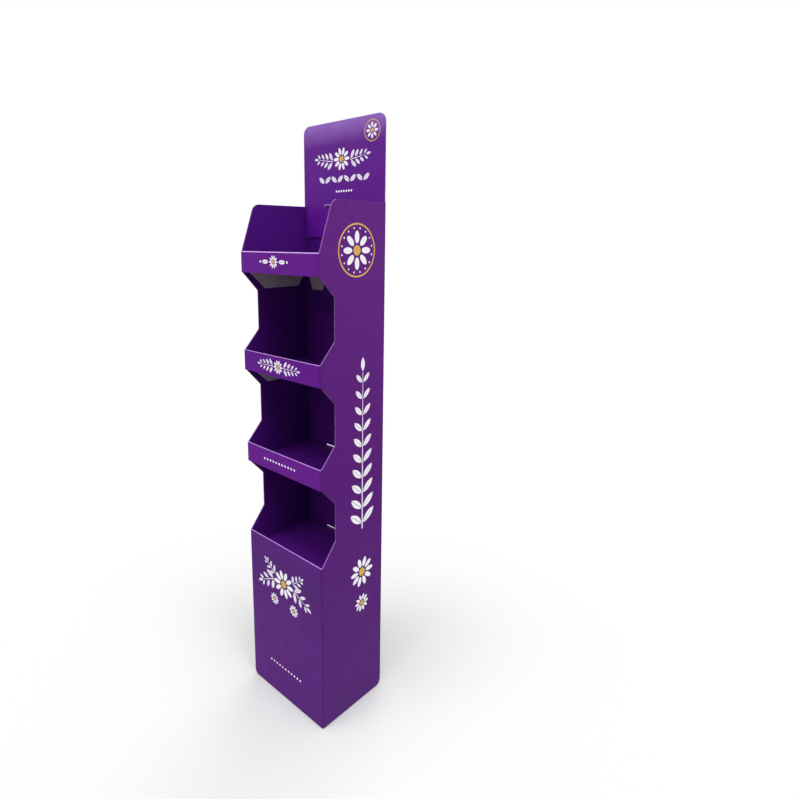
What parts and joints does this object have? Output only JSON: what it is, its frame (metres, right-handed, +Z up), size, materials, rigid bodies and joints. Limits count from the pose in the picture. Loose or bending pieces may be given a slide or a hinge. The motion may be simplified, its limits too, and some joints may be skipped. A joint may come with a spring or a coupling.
{
  "type": "cardboard display stand",
  "caption": "Tall floor display stand of printed corrugated board: folded wrap with windows round its front corners, four shelf trays and a header card.",
  "frame": {"origin": "on the floor, under the middle of the stand's footprint", "axes": "+X across the front to the viewer's right, +Y from the front to the back, +Z up"},
  "size_m": [0.35, 0.273, 1.87],
  "materials": {
    "printed_board": "satin offset print on white liner",
    "plain_board": "matt unprinted grey liner"
  },
  "bodies": {
    "root": {"outer_wrap": "printed_board", "header_card": "printed_board", "top_shelf_tray": "printed_board", "middle_shelf_tray": "printed_board", "lower_shelf_tray": "printed_board", "base_tray": "printed_board", "base_cross_wide": "plain_board", "base_cross_deep": "plain_board"}
  },
  "joints": []
}
